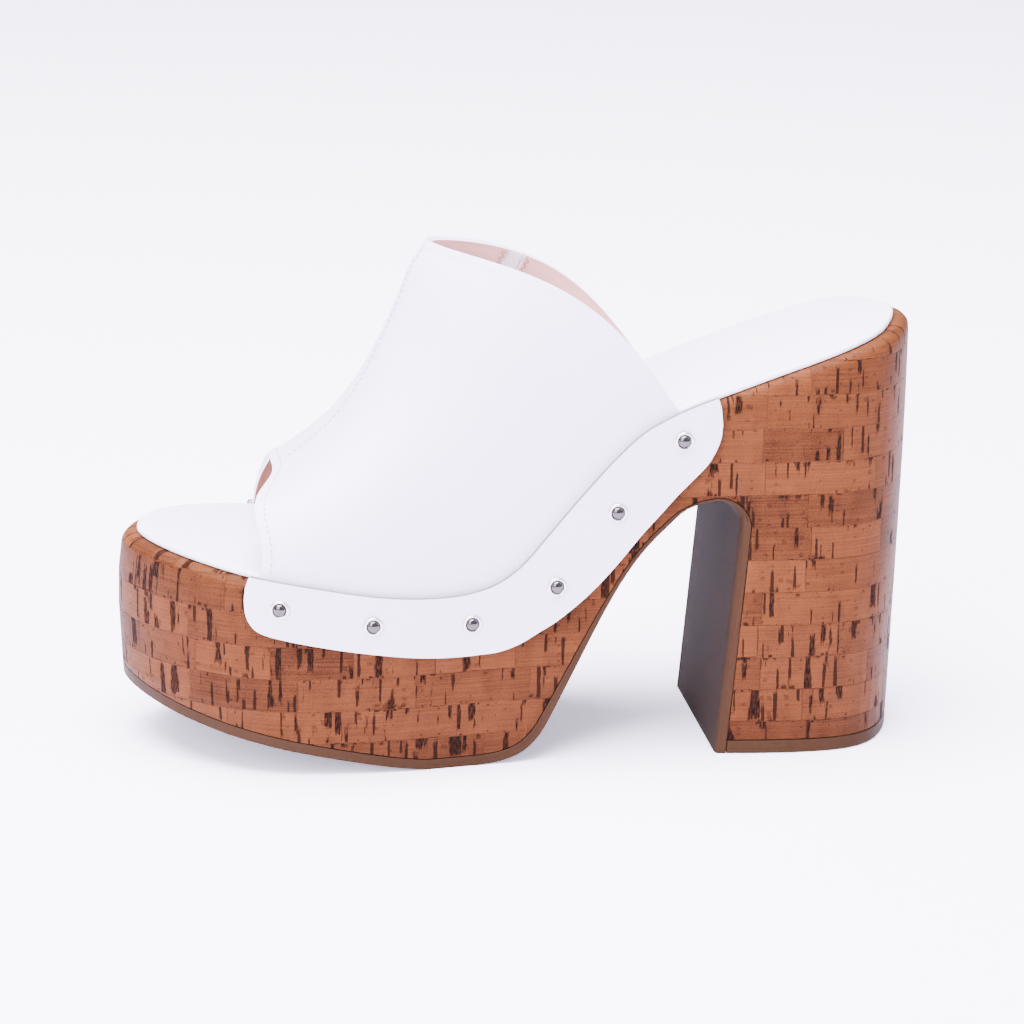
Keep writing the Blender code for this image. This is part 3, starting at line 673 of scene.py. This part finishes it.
class SANDAL_OT_cork(bpy.types.Operator):
    """Wrap the platform and heel in cork sheet"""

    bl_idname = "sandal.cork"
    bl_label = "Cork unit"

    def execute(self, context):
        sizes, tints = context.scene.sandal_sizes, context.scene.sandal_colours
        made, net, shader = new_material("Cork", (0.5, 0.3, 0.2), 0.7, Specular_IOR_Level=0.04)
        pattern = net.node("Group", node_tree=cork_sheet(sizes.cork_row, sizes.cork_block))
        net.put(net.node("UVMap", uv_map="Way round").outputs[0], pattern.inputs["Vector"])
        for label, value in (("Light", tints.cork_light), ("Dark", tints.cork_dark), ("Pore", tints.pore)):
            net.put(tuple(value), pattern.inputs[label])
        net.put(pattern.outputs["Color"], shader.inputs["Base Color"])
        net.put(pattern.outputs["Roughness"], shader.inputs["Roughness"])
        add_bump(net, shader, pattern.outputs["Height"], 0.7, 0.0005)
        bm = cad_copy("cork_unit", tidy=False)
        bm.verts.ensure_lookup_table()
        perimeter_map(bm)
        new_piece("cork_sheet", bm, [made], "cork", "cork_unit", smooth_angle=35)
        return {"FINISHED"}


def is_wall(face):
    """Whether a face of the sole belongs to its trimmed side wall."""
    if face.calc_center_median().x > FLAT_SOLE:
        return abs(face.normal.z) < 0.6
    return abs(face.normal.y) > 0.55


def ease_sole(bm, radius):
    """Rounds the outer edges of the heel breast and the arch, and writes the wall attribute that also places painted
    shade: 1 on the side walls, 0 on the faces, which the sole material paints darker as shade, and between them on
    the rounding."""
    bm.normal_update()
    outer = []
    for face in bm.faces:
        middle = face.calc_center_median()
        if middle.x < WAIST_START and middle.z > radius and abs(face.normal.y) < 0.5:
            if face.normal.z < -0.1 or face.normal.x > 0.5 and middle.x < BREAST:
                outer.append(face)
    steps = 5
    edge_y = min(abs(vert.co.y) for face in outer for vert in face.verts)
    for side in (1, -1):
        for step in range(1, steps + 1):
            cut_y = side * (edge_y - radius * (1 - cos(pi / 2 * step / steps)))
            around = {item for face in outer for item in (face, *face.edges, *face.verts)}
            made = bmesh.ops.bisect_plane(
                bm, geom=list(around), dist=1e-7, plane_co=(0, cut_y, 0), plane_no=(0, 1, 0)
            )
            outer = [item for item in made["geom"] if isinstance(item, bmesh.types.BMFace)]
    bm.normal_update()
    rows = {}
    for vert in {vert for face in outer for vert in face.verts}:
        normal = sum((face.normal for face in vert.link_faces if face in outer), Vector())
        normal.y = 0
        key = (round(vert.co.x, 5), round(vert.co.z, 5), vert.co.y > 0)
        rows.setdefault(key, []).append((vert, normal.normalized()))
    trim_and_shade_values = {}
    for (x, _, _), row in rows.items():
        row.sort(key=lambda item: -abs(item[0].co.y))
        bend = radius * float(np.interp(x, (0.0245, 0.029, 0.040, WAIST_START), (1.0, 0.4, 0.3, 0.0)))
        for step, (vert, normal) in enumerate(row):
            angle = pi / 2 * min(step, steps) / steps
            trim_and_shade_values[vert] = 1 - min(step, steps) / steps
            vert.co -= normal * bend * (1 - sin(angle))
    layer = bm.loops.layers.float.new("trim_and_shade")
    bent = set(outer)
    for face in bm.faces:
        for loop in face.loops:
            loop[layer] = trim_and_shade_values[loop.vert] if face in bent else float(is_wall(face))


class SANDAL_OT_soles(bpy.types.Operator):
    """Finish the tan outsole and the top lift"""

    bl_idname = "sandal.soles"
    bl_label = "Outsole and top lift"

    def execute(self, context):
        sizes, tints = context.scene.sandal_sizes, context.scene.sandal_colours
        # The outsole's faces take the darker face colour, painted shade on the heel breast and underside.
        sheet = rubber("Sole sheet", tuple(tints.edge), 0.5, face=tuple(tints.painted_shade_face))
        bm = cad_copy("outsole")
        ease_sole(bm, sizes.breast_round)
        piece = new_piece("outsole_finish", bm, [sheet], "tan_rubber", "outsole", smooth_angle=30)
        rounded(piece, 0.00035)
        lift = rubber("Top lift", tuple(tints.edge), 0.5)
        bm = cad_copy("top_lift")
        piece = new_piece("top_lift_finish", bm, [lift], "tan_lift", "top_lift", smooth_angle=30)
        rounded(piece, 0.00035)
        return {"FINISHED"}


class SANDAL_OT_insole(bpy.types.Operator):
    """Cover the footbed with soft white leather"""

    bl_idname = "sandal.insole"
    bl_label = "Insole"

    def execute(self, context):
        tints = context.scene.sandal_colours
        white = leather("Insole leather", tuple(tints.insole), 0.5, 1300.0, 0.25, 0.04)
        bm = cad_copy("insole", tidy=False)
        piece = new_piece("insole_leather", bm, [white], "white_leather_insole", "insole", smooth_angle=70)
        rounded(piece, 0.0003, angle=70)
        return {"FINISHED"}


def ease(value, low, high):
    """A smooth step from 0 at low to 1 at high."""
    t = min(max((value - low) / (high - low), 0.0), 1.0)
    return t * t * (3 - 2 * t)


def slit_frame():
    """The slit's place on the topline, and its directions along the edge and into the band."""
    edge = Vector(band_at(SLIT_PLACE, 1.0)[:3])
    along = (Vector(band_at(SLIT_PLACE + 0.01, 1.0)[:3]) - edge).normalized()
    into = Vector(band_at(SLIT_PLACE, share_at(SLIT_PLACE, -0.02))[:3]) - edge
    return edge, along, (into - along * into.dot(along)).normalized()


def slit_shares(offset, deep):
    """Shares of the band at an offset along the topline and a depth below it, from the slit."""
    edge, along, into = slit_frame()
    u, v = SLIT_PLACE, 1.0
    for _ in range(14):
        away = Vector(band_at(u, v)[:3]) - edge
        u += (offset - away.dot(along)) / BAND[-1, -1, 4]
        v = min(v + (away.dot(into) - deep) / band_at(u, 1.0)[3], 1.0)
    return u, v


def slit_slug(sizes):
    """A U-shaped slug across the medial topline."""
    radius = sizes.slit_width / 2
    straight = sizes.slit_depth - radius
    bm = bmesh.new()
    bmesh.ops.create_circle(bm, cap_ends=True, segments=32, radius=radius)
    for vert in bm.verts:
        if vert.co.y < -1e-6:
            vert.co.y = -straight - sizes.slit_width
            vert.co.x = radius if vert.co.x > 0 else -radius
    bmesh.ops.remove_doubles(bm, verts=bm.verts[:], dist=1e-6)
    drawn = bmesh.ops.extrude_face_region(bm, geom=bm.faces[:])["geom"]
    moved = [item for item in drawn if isinstance(item, bmesh.types.BMVert)]
    bmesh.ops.translate(bm, verts=moved, vec=(0, 0, 2 * sizes.slit_width))
    bmesh.ops.translate(bm, verts=bm.verts[:], vec=(0, straight, -sizes.slit_width))
    bmesh.ops.recalc_face_normals(bm, faces=bm.faces[:])
    edge, along, into = slit_frame()
    place = Matrix((along, into, along.cross(into))).transposed().to_4x4()
    place.translation = edge
    bmesh.ops.transform(bm, matrix=place, verts=bm.verts[:])
    return bm


def apply_modifiers(piece):
    """Bakes a piece's modifiers into its mesh."""
    graph = bpy.context.evaluated_depsgraph_get()
    mesh = bpy.data.meshes.new_from_object(piece.evaluated_get(graph))
    old = piece.data
    piece.modifiers.clear()
    piece.data = mesh
    bpy.data.meshes.remove(old)


class SANDAL_OT_upper(bpy.types.Operator):
    """Form the leather band with its lining, folded edges and slit"""

    bl_idname = "sandal.upper"
    bl_label = "Leather band"

    def execute(self, context):
        sizes, tints = context.scene.sandal_sizes, context.scene.sandal_colours
        white = leather("Band leather", tuple(tints.leather))
        # The lining's darker colour near the toe opening is painted shade.
        lining = cloth("Lining", tuple(tints.lining), 0.0006, 0.8, 0.35, tuple(tints.painted_shade_lining))
        bm = grid(112, 56)
        rises = {}
        for vert in bm.verts:
            u, v = vert.co.x, (1 - cos(pi * vert.co.y)) / 2
            x, y, z, ahead, across = band_at(u, v)
            left = band_at(u, 1.0)[3] - ahead
            front = 1 - ease(ahead, sizes.fold * 0.75, sizes.fold * 1.15)
            back = 1 - ease(left, sizes.fold * 0.6, sizes.fold)
            rises[vert] = sizes.fold_rise * max(front, 0.7 * back)
            vert.co = (x, y, z)
        bmesh.ops.reverse_faces(bm, faces=bm.faces[:])
        bm.normal_update()
        for vert, normal in [(vert, vert.normal.copy()) for vert in bm.verts]:
            vert.co += normal * (rises[vert] - sizes.fold_rise)
        band = new_piece("leather_band", bm, [white, lining], "white_leather", "upper")
        wall = band.modifiers.new("wall", "SOLIDIFY")
        wall.thickness = sizes.wall - sizes.fold_rise
        wall.offset = -1
        wall.use_even_offset = True
        wall.material_offset = 1
        wall.material_offset_rim = 0
        mesh = bpy.data.meshes.new("slit slug")
        slug = slit_slug(sizes)
        slug.to_mesh(mesh)
        slug.free()
        cutter = bpy.data.objects.new("slit slug", mesh)
        context.scene.collection.objects.link(cutter)
        cut = band.modifiers.new("slit", "BOOLEAN")
        cut.operation = "DIFFERENCE"
        cut.object = cutter
        apply_modifiers(band)
        bpy.data.objects.remove(cutter)
        band.data.set_sharp_from_angle(angle=radians(40))
        rounded(band, sizes.edge_round, segments=3, angle=50)
        return {"FINISHED"}


class SANDAL_OT_elastic(bpy.types.Operator):
    """Fill the slit with ribbed elastic"""

    bl_idname = "sandal.elastic"
    bl_label = "Elastic"

    def execute(self, context):
        sizes, tints = context.scene.sandal_sizes, context.scene.sandal_colours
        white = cloth("Elastic cloth", tuple(tints.elastic), 0.0008, 0.85, 0.8)
        radius = sizes.slit_width / 2 - GAP
        straight = sizes.slit_depth - sizes.slit_width / 2
        bm = grid(12, 36)
        for vert in bm.verts:
            deep = vert.co.y * (straight + radius)
            over = max(deep - straight, 0.0)
            half = sqrt(max(radius**2 - over**2, 0.0))
            u, v = slit_shares((vert.co.x - 0.5) * 2 * half, deep)
            point = Vector(band_at(u, v)[:3])
            rib = 0.00008 * sin(vert.co.x * 12 * pi)
            vert.co = point - band_normal(u, v) * ((sizes.wall - sizes.elastic) / 2 - rib)
        bmesh.ops.remove_doubles(bm, verts=bm.verts[:], dist=1e-6)
        bm.normal_update()
        outward = band_normal(SLIT_PLACE, 0.95)
        if sum((face.normal.dot(outward) for face in bm.faces)) < 0:
            bmesh.ops.reverse_faces(bm, faces=bm.faces[:])
        gore = new_piece("elastic_gore", bm, [white], "white_elastic", "gore")
        wall = gore.modifiers.new("wall", "SOLIDIFY")
        wall.thickness = sizes.elastic
        wall.offset = -1
        return {"FINISHED"}


def strip_edge(rows, share):
    """Depth of a strip's edge at a share of its length."""
    table = smooth(rows, 4)
    return float(np.interp(share, table[:, 0], table[:, 1]))


class SANDAL_OT_strips(bpy.types.Operator):
    """Lay the white strips along the rim"""

    bl_idname = "sandal.strips"
    bl_label = "Side strips"

    def execute(self, context):
        sizes, tints = context.scene.sandal_sizes, context.scene.sandal_colours
        white = leather("Strip leather", tuple(tints.strip), 0.38, 1500.0, 0.2)
        # The dark cut edge material paints the gap shadow along the strips' rims.
        cut = leather("Cut edge with painted gap shadow", tuple(tints.cut), 0.6)
        for name, side in SIDES:
            front = STRIP_FRONT[side]
            bm = grid(150, 16)
            for vert in bm.verts:
                share = (1 - cos(pi * vert.co.x)) / 2
                low = strip_edge(STRIP_LOW, share)
                top = np.interp(share, *zip(*STRIP_TOP))
                x = STRIP_BACK + share * (front - STRIP_BACK)
                depth = low + (top - low) * vert.co.y
                z = rim(x, 1) + STRIP_STAND - depth * STRIP_WIDTH
                if side == MEDIAL:
                    z -= np.interp(x, *zip(*MEDIAL_DROP)) * vert.co.y
                out = (GAP + STRIP_WALL) * sqrt(1 + rim_slope(x, side) ** 2)
                vert.co = (x, half_width(x, side) + out * side, z)
            bmesh.ops.remove_doubles(bm, verts=bm.verts[:], dist=1e-6)
            bm.normal_update()
            if sum((face.normal.y * side for face in bm.faces)) < 0:
                bmesh.ops.reverse_faces(bm, faces=bm.faces[:])
            node = "rand_" + name
            strip = new_piece("strip_" + name, bm, [white, cut], "white_strip_leather", node)
            wall = strip.modifiers.new("wall", "SOLIDIFY")
            wall.thickness = STRIP_WALL
            wall.offset = -1
            # The rims take the cut edge material, a painted gap shadow line.
            wall.material_offset_rim = 1
            apply_modifiers(strip)
            strip.data.set_sharp_from_angle(angle=radians(40))
            rounded(strip, sizes.edge_round, segments=3, angle=50)
        return {"FINISHED"}


class SANDAL_OT_studs(bpy.types.Operator):
    """Set the domed studs on the strips"""

    bl_idname = "sandal.studs"
    bl_label = "Studs"

    def execute(self, context):
        sizes, tints = context.scene.sandal_sizes, context.scene.sandal_colours
        metal = polished("Collar metal", tuple(tints.metal))
        dark = polished("Dome metal with painted reflection", tuple(tints.dome))
        radius, height = sizes.stud_radius, sizes.stud_height
        collar = height * 0.40
        profile = [(0.0, height)]
        for step in range(1, 9):
            angle = radians(84) * step / 8
            profile.append((radius * 0.66 * sin(angle), collar * 0.4 + (height - collar * 0.4) * cos(angle)))
        for step in range(9):
            angle = radians(180 - 22.5 * step)
            profile.append((radius * (0.835 + 0.165 * cos(angle)), collar * (0.30 + 0.80 * sin(angle))))
        profile.append((radius, 0.0))
        for name, side in SIDES:
            for number in range(1, STUDS + 1):
                node = f"stud_{name}_{number}"
                low, high = (Vector(corner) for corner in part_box(node))
                centre = (low + high) / 2
                outward = Vector((-rim_slope(centre.x, side), 1, 0)).normalized() * side
                bm = bmesh.new()
                verts = [bm.verts.new((x, 0, z)) for x, z in profile]
                edges = [bm.edges.new(pair) for pair in zip(verts, verts[1:])]
                bmesh.ops.spin(
                    bm, geom=verts + edges, cent=(0, 0, 0), axis=(0, 0, 1), angle=2 * pi, steps=28, use_merge=True
                )
                bmesh.ops.remove_doubles(bm, verts=bm.verts[:], dist=1e-6)
                bmesh.ops.holes_fill(bm, edges=bm.edges[:])
                bmesh.ops.recalc_face_normals(bm, faces=bm.faces[:])
                turn = outward.to_track_quat("Z", "Y").to_matrix().to_4x4()
                turn.translation = centre - outward * height / 2
                bmesh.ops.transform(bm, matrix=turn, verts=bm.verts[:])
                for face in bm.faces:
                    away = face.calc_center_median() - centre
                    away -= outward * away.dot(outward)
                    # Inner faces take the dark dome metal, a painted dark reflection; the collar stays bright.
                    face.material_index = 0 if away.length > radius * 0.67 else 1
                new_piece(f"dome_{name}_{number}", bm, [metal, dark], f"polished_metal_{name}", node, smooth_angle=60)
        return {"FINISHED"}


def bead(bm, start, end, normal, thickness):
    """One stitch from a point to another, lying on a surface."""
    run = end - start
    along = run.normalized()
    across = normal.cross(along).normalized()
    turn = Matrix((along, across, along.cross(across))).transposed().to_4x4()
    turn.translation = (start + end) / 2
    size = Matrix.Diagonal((run.length / 2, thickness / 2, thickness / 2, 1))
    bmesh.ops.create_uvsphere(bm, u_segments=6, v_segments=4, radius=1, matrix=turn @ size)


def stitched(bm, places, lift, sizes):
    """Stitches at even distances along places on the band, each a pair of shares."""
    points = [Vector(band_at(u, v)[:3]) + band_normal(u, v) * lift for u, v in places]
    runs = np.concatenate([[0], np.cumsum([(b - a).length for a, b in zip(points, points[1:])])])
    table = np.array([tuple(point) for point in points])
    shares = np.array(places)
    starts = np.arange(0.001, runs[-1] - sizes.stitch_pitch, sizes.stitch_pitch)
    for begin in starts:
        ends = []
        for run in (begin, begin + sizes.stitch_pitch * 0.68):
            ends.append(Vector([np.interp(run, runs, table[:, k]) for k in range(3)]))
        u, v = (np.interp(begin, runs, shares[:, k]) for k in range(2))
        bead(bm, *ends, band_normal(u, v), sizes.thread)


class SANDAL_OT_stitches(bpy.types.Operator):
    """Sew the toe opening, the ridge and the elastic"""

    bl_idname = "sandal.stitches"
    bl_label = "Stitches"

    def execute(self, context):
        sizes, tints = context.scene.sandal_sizes, context.scene.sandal_colours
        # The white thread is greyed as painted shade of the stitch grooves.
        white = thread("White thread with painted shade", tuple(tints.thread))
        beige = thread("Beige thread", tuple(tints.zigzag))
        bm = bmesh.new()
        front = [(u, share_at(u, sizes.fold * 0.95)) for u in np.linspace(0.02, 0.98, 140)]
        stitched(bm, front, -0.00012, sizes)
        new_piece("front_stitches", bm, [white], "white_leather")
        bm = bmesh.new()
        ridge = []
        columns = np.linspace(0, 1, BAND.shape[1])
        for v in np.linspace(0.06, 0.97, 90):
            row = BAND[int(round(v * (BAND.shape[0] - 1)))]
            ridge.append((float(np.interp(-(RIDGE + 0.0024), -row[:, 1], columns)), v))
        stitched(bm, ridge, -0.00022, sizes)
        new_piece("ridge_stitches", bm, [white], "white_leather")
        bm = bmesh.new()
        for wall in (-0.00020, -sizes.wall - 0.00005):
            for side in (-1, 1):
                near = sizes.slit_width / 2 + 0.0006
                ends = []
                for step in range(22):
                    deep = 0.0008 + step * 0.0009
                    offset = near + (0.0016 if step % 2 else 0.0)
                    u, v = slit_shares(side * offset, deep)
                    normal = band_normal(u, v)
                    ends.append((Vector(band_at(u, v)[:3]) + normal * wall, normal))
                for (start, normal), (end, _) in zip(ends, ends[1:]):
                    bead(bm, start, end, normal, sizes.thread)
        new_piece("elastic_stitches", bm, [beige], "white_elastic")
        return {"FINISHED"}


class SANDAL_OT_stage(bpy.types.Operator):
    """Set the pale floor, the soft light and the camera"""

    bl_idname = "sandal.stage"
    bl_label = "Floor, light and camera"

    def execute(self, context):
        tints = context.scene.sandal_colours
        glow = {"Emission_Color": (0.82, 0.79, 1.0, 1.0), "Emission_Strength": 0.7}
        made, net, shader = new_material("Floor", tuple(tints.floor), 0.7, Specular_IOR_Level=0.2, **glow)
        place = net.node("TexCoord").outputs["Object"]
        faint = net.noise(place, 3.0, 2.0)
        base = tuple(tints.floor)
        dim = tuple(value * 0.985 for value in base)
        net.put(net.mix(faint, base, dim), shader.inputs["Base Color"])
        bm = bmesh.new()
        bmesh.ops.create_grid(bm, x_segments=4, y_segments=4, size=8.0)
        bmesh.ops.translate(bm, verts=bm.verts[:], vec=(0, 0, -0.00005))
        mesh = bpy.data.meshes.new("floor")
        bm.to_mesh(mesh)
        bm.free()
        mesh.materials.append(made)
        floor = bpy.data.objects.new("floor", mesh)
        context.scene.collection.objects.link(floor)

        world = bpy.data.worlds.new("studio")
        world.use_nodes = True
        context.scene.world = world
        sky = Net(world.node_tree)
        ground = world.node_tree.nodes["Background"]
        height = sky.node("SeparateXYZ")
        sky.put(sky.node("TexCoord").outputs["Generated"], height.inputs[0])
        share = sky.ramp(height.outputs[2], -0.05, 0.75)
        sky.put(sky.mix(share, (0.54, 0.51, 0.60), (0.96, 0.92, 1.0)), ground.inputs["Color"])
        ground.inputs["Strength"].default_value = 1.5

        for name, place, size, energy in (
            ("top softbox", (0.40, 0.20, 2.00), 1.9, 450.0),
            ("front softbox", (1.10, 1.35, 0.95), 1.2, 75.0),
            ("heel softbox", (-1.20, 0.70, 0.80), 0.9, 2.0),
        ):
            light = bpy.data.lights.new(name, "AREA")
            light.energy = energy
            light.size = size
            light.color = (0.93, 0.90, 1.0)
            lamp = bpy.data.objects.new(name, light)
            context.scene.collection.objects.link(lamp)
            lamp.location = place
            aim = Vector((0.08, 0, 0.06)) - Vector(place)
            lamp.rotation_euler = aim.to_track_quat("-Z", "Y").to_euler()

        target = Vector((0.08635, 0.0, 0.0659))
        turn, lift, roll = radians(8.09), radians(15.96), radians(0.68)
        back = Vector((sin(turn) * cos(lift), cos(turn) * cos(lift), sin(lift)))
        right = Vector((0, 0, 1)).cross(back).normalized()
        up = back.cross(right)
        right, up = right * cos(roll) + up * sin(roll), up * cos(roll) - right * sin(roll)
        camera = bpy.data.objects.new("camera", bpy.data.cameras.new("camera"))
        context.scene.collection.objects.link(camera)
        camera.data.lens = 142.7
        camera.data.sensor_width = 36.0
        camera.data.clip_end = 50.0
        view = Matrix((right, up, back)).transposed().to_4x4()
        view.translation = target + back * 1.1938
        camera.matrix_world = view
        context.scene.camera = camera
        return {"FINISHED"}


OPERATORS = (
    SANDAL_OT_cork,
    SANDAL_OT_soles,
    SANDAL_OT_insole,
    SANDAL_OT_upper,
    SANDAL_OT_elastic,
    SANDAL_OT_strips,
    SANDAL_OT_studs,
    SANDAL_OT_stitches,
    SANDAL_OT_stage,
)


class SANDAL_PT_pieces(bpy.types.Panel):
    """Pieces of the sandal"""

    bl_idname = "SANDAL_PT_pieces"
    bl_label = "Cork platform sandal"
    bl_space_type = "VIEW_3D"
    bl_region_type = "UI"
    bl_category = "Sandal"

    def draw(self, context):
        for operator in OPERATORS:
            self.layout.operator(operator.bl_idname)
        for settings in (context.scene.sandal_sizes, context.scene.sandal_colours):
            box = self.layout.box()
            for name in settings.bl_rna.properties.keys():
                if name not in ("name", "rna_type"):
                    box.prop(settings, name)


CLASSES = (SandalSizes, SandalColours, *OPERATORS, SANDAL_PT_pieces)


def register():
    for made in CLASSES:
        bpy.utils.register_class(made)
    bpy.types.Scene.sandal_sizes = bpy.props.PointerProperty(type=SandalSizes)
    bpy.types.Scene.sandal_colours = bpy.props.PointerProperty(type=SandalColours)


def unregister():
    del bpy.types.Scene.sandal_colours
    del bpy.types.Scene.sandal_sizes
    for made in reversed(CLASSES):
        bpy.utils.unregister_class(made)


def main():
    """Build the finish."""
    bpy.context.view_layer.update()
    register()
    for operator in OPERATORS:
        group_name, name = operator.bl_idname.split(".")
        getattr(getattr(bpy.ops, group_name), name)()


if __name__ == "__main__":
    main()
